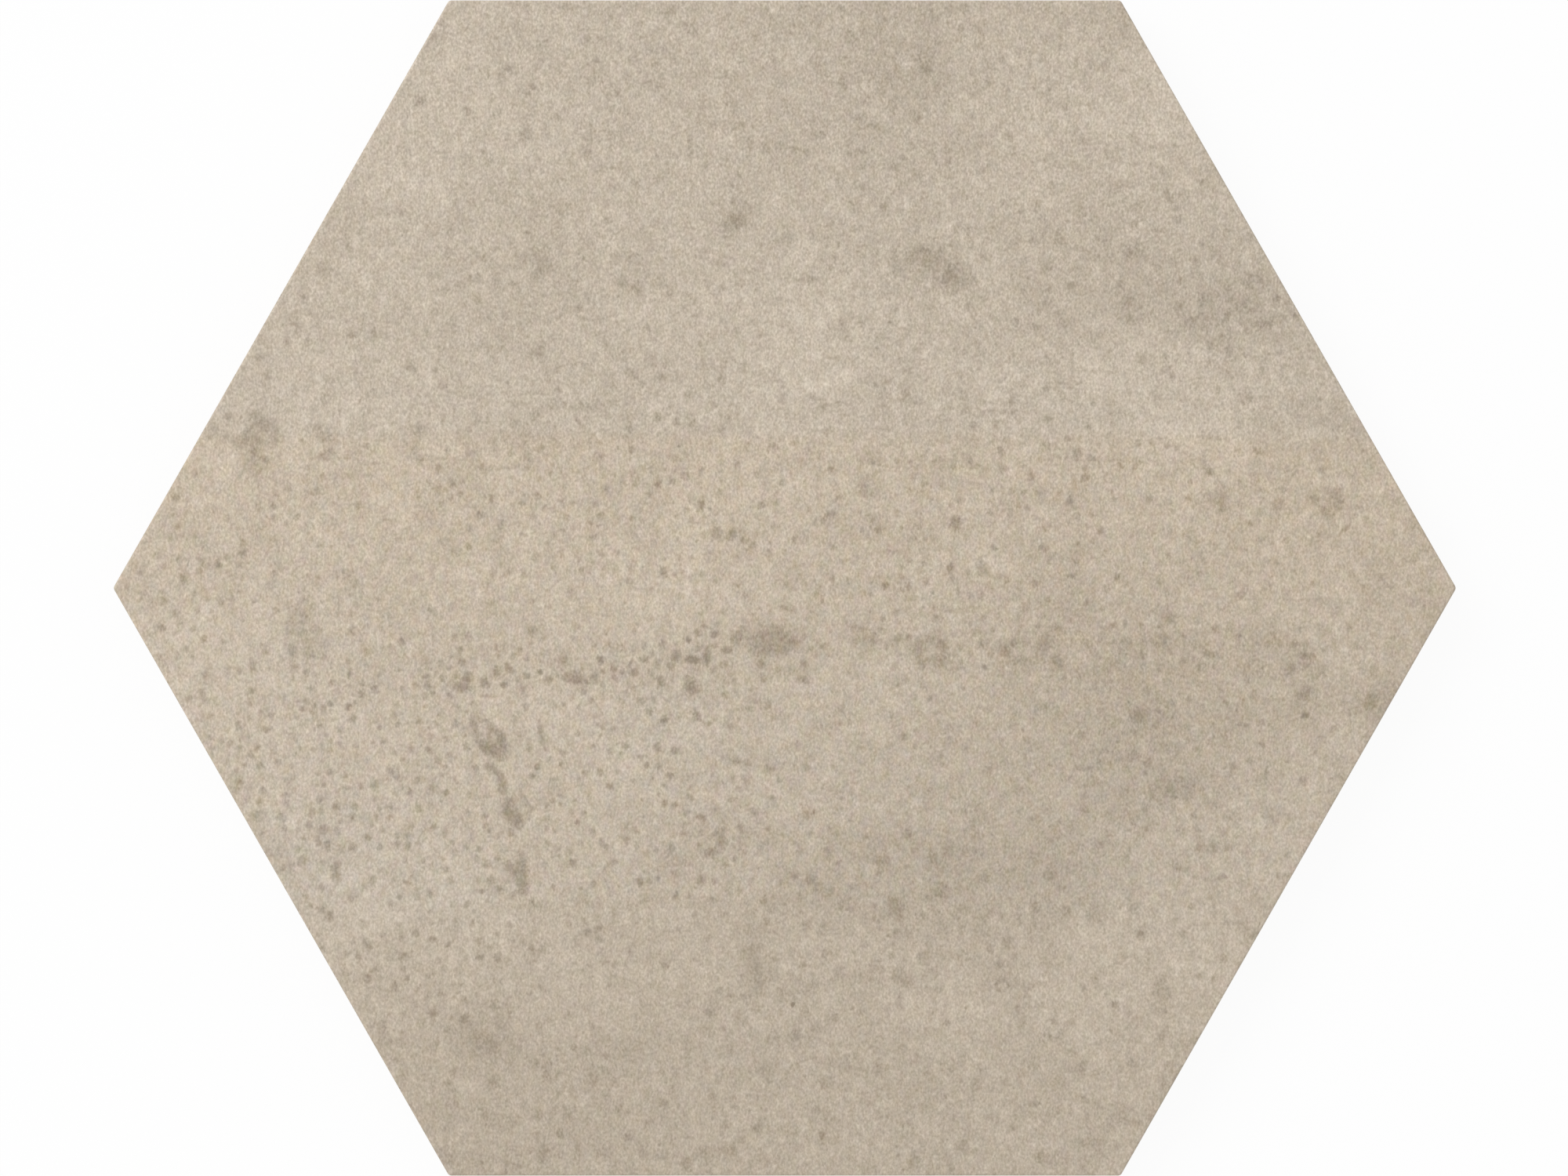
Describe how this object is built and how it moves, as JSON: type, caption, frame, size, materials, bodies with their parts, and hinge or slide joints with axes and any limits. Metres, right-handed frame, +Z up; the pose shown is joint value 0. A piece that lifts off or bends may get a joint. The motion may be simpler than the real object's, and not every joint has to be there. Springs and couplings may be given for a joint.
{
  "type": "hexagon floor tile",
  "caption": "Flat-topped hexagonal porcelain floor tile with a flat matt cement-look face, an eased arris, upright edges and a bevelled, keyed honeycomb back.",
  "frame": {"origin": "centre of the back, in the plane that the tile rests on", "axes": "+X from the centre to the right-hand corner, +Y to the middle of one of the two sides that lie along X, +Z up through the face"},
  "size_m": [0.1998, 0.175, 0.009],
  "materials": {
    "porcelain": "matte"
  },
  "bodies": {
    "root": {"hexagon_tile": "porcelain"}
  },
  "joints": []
}
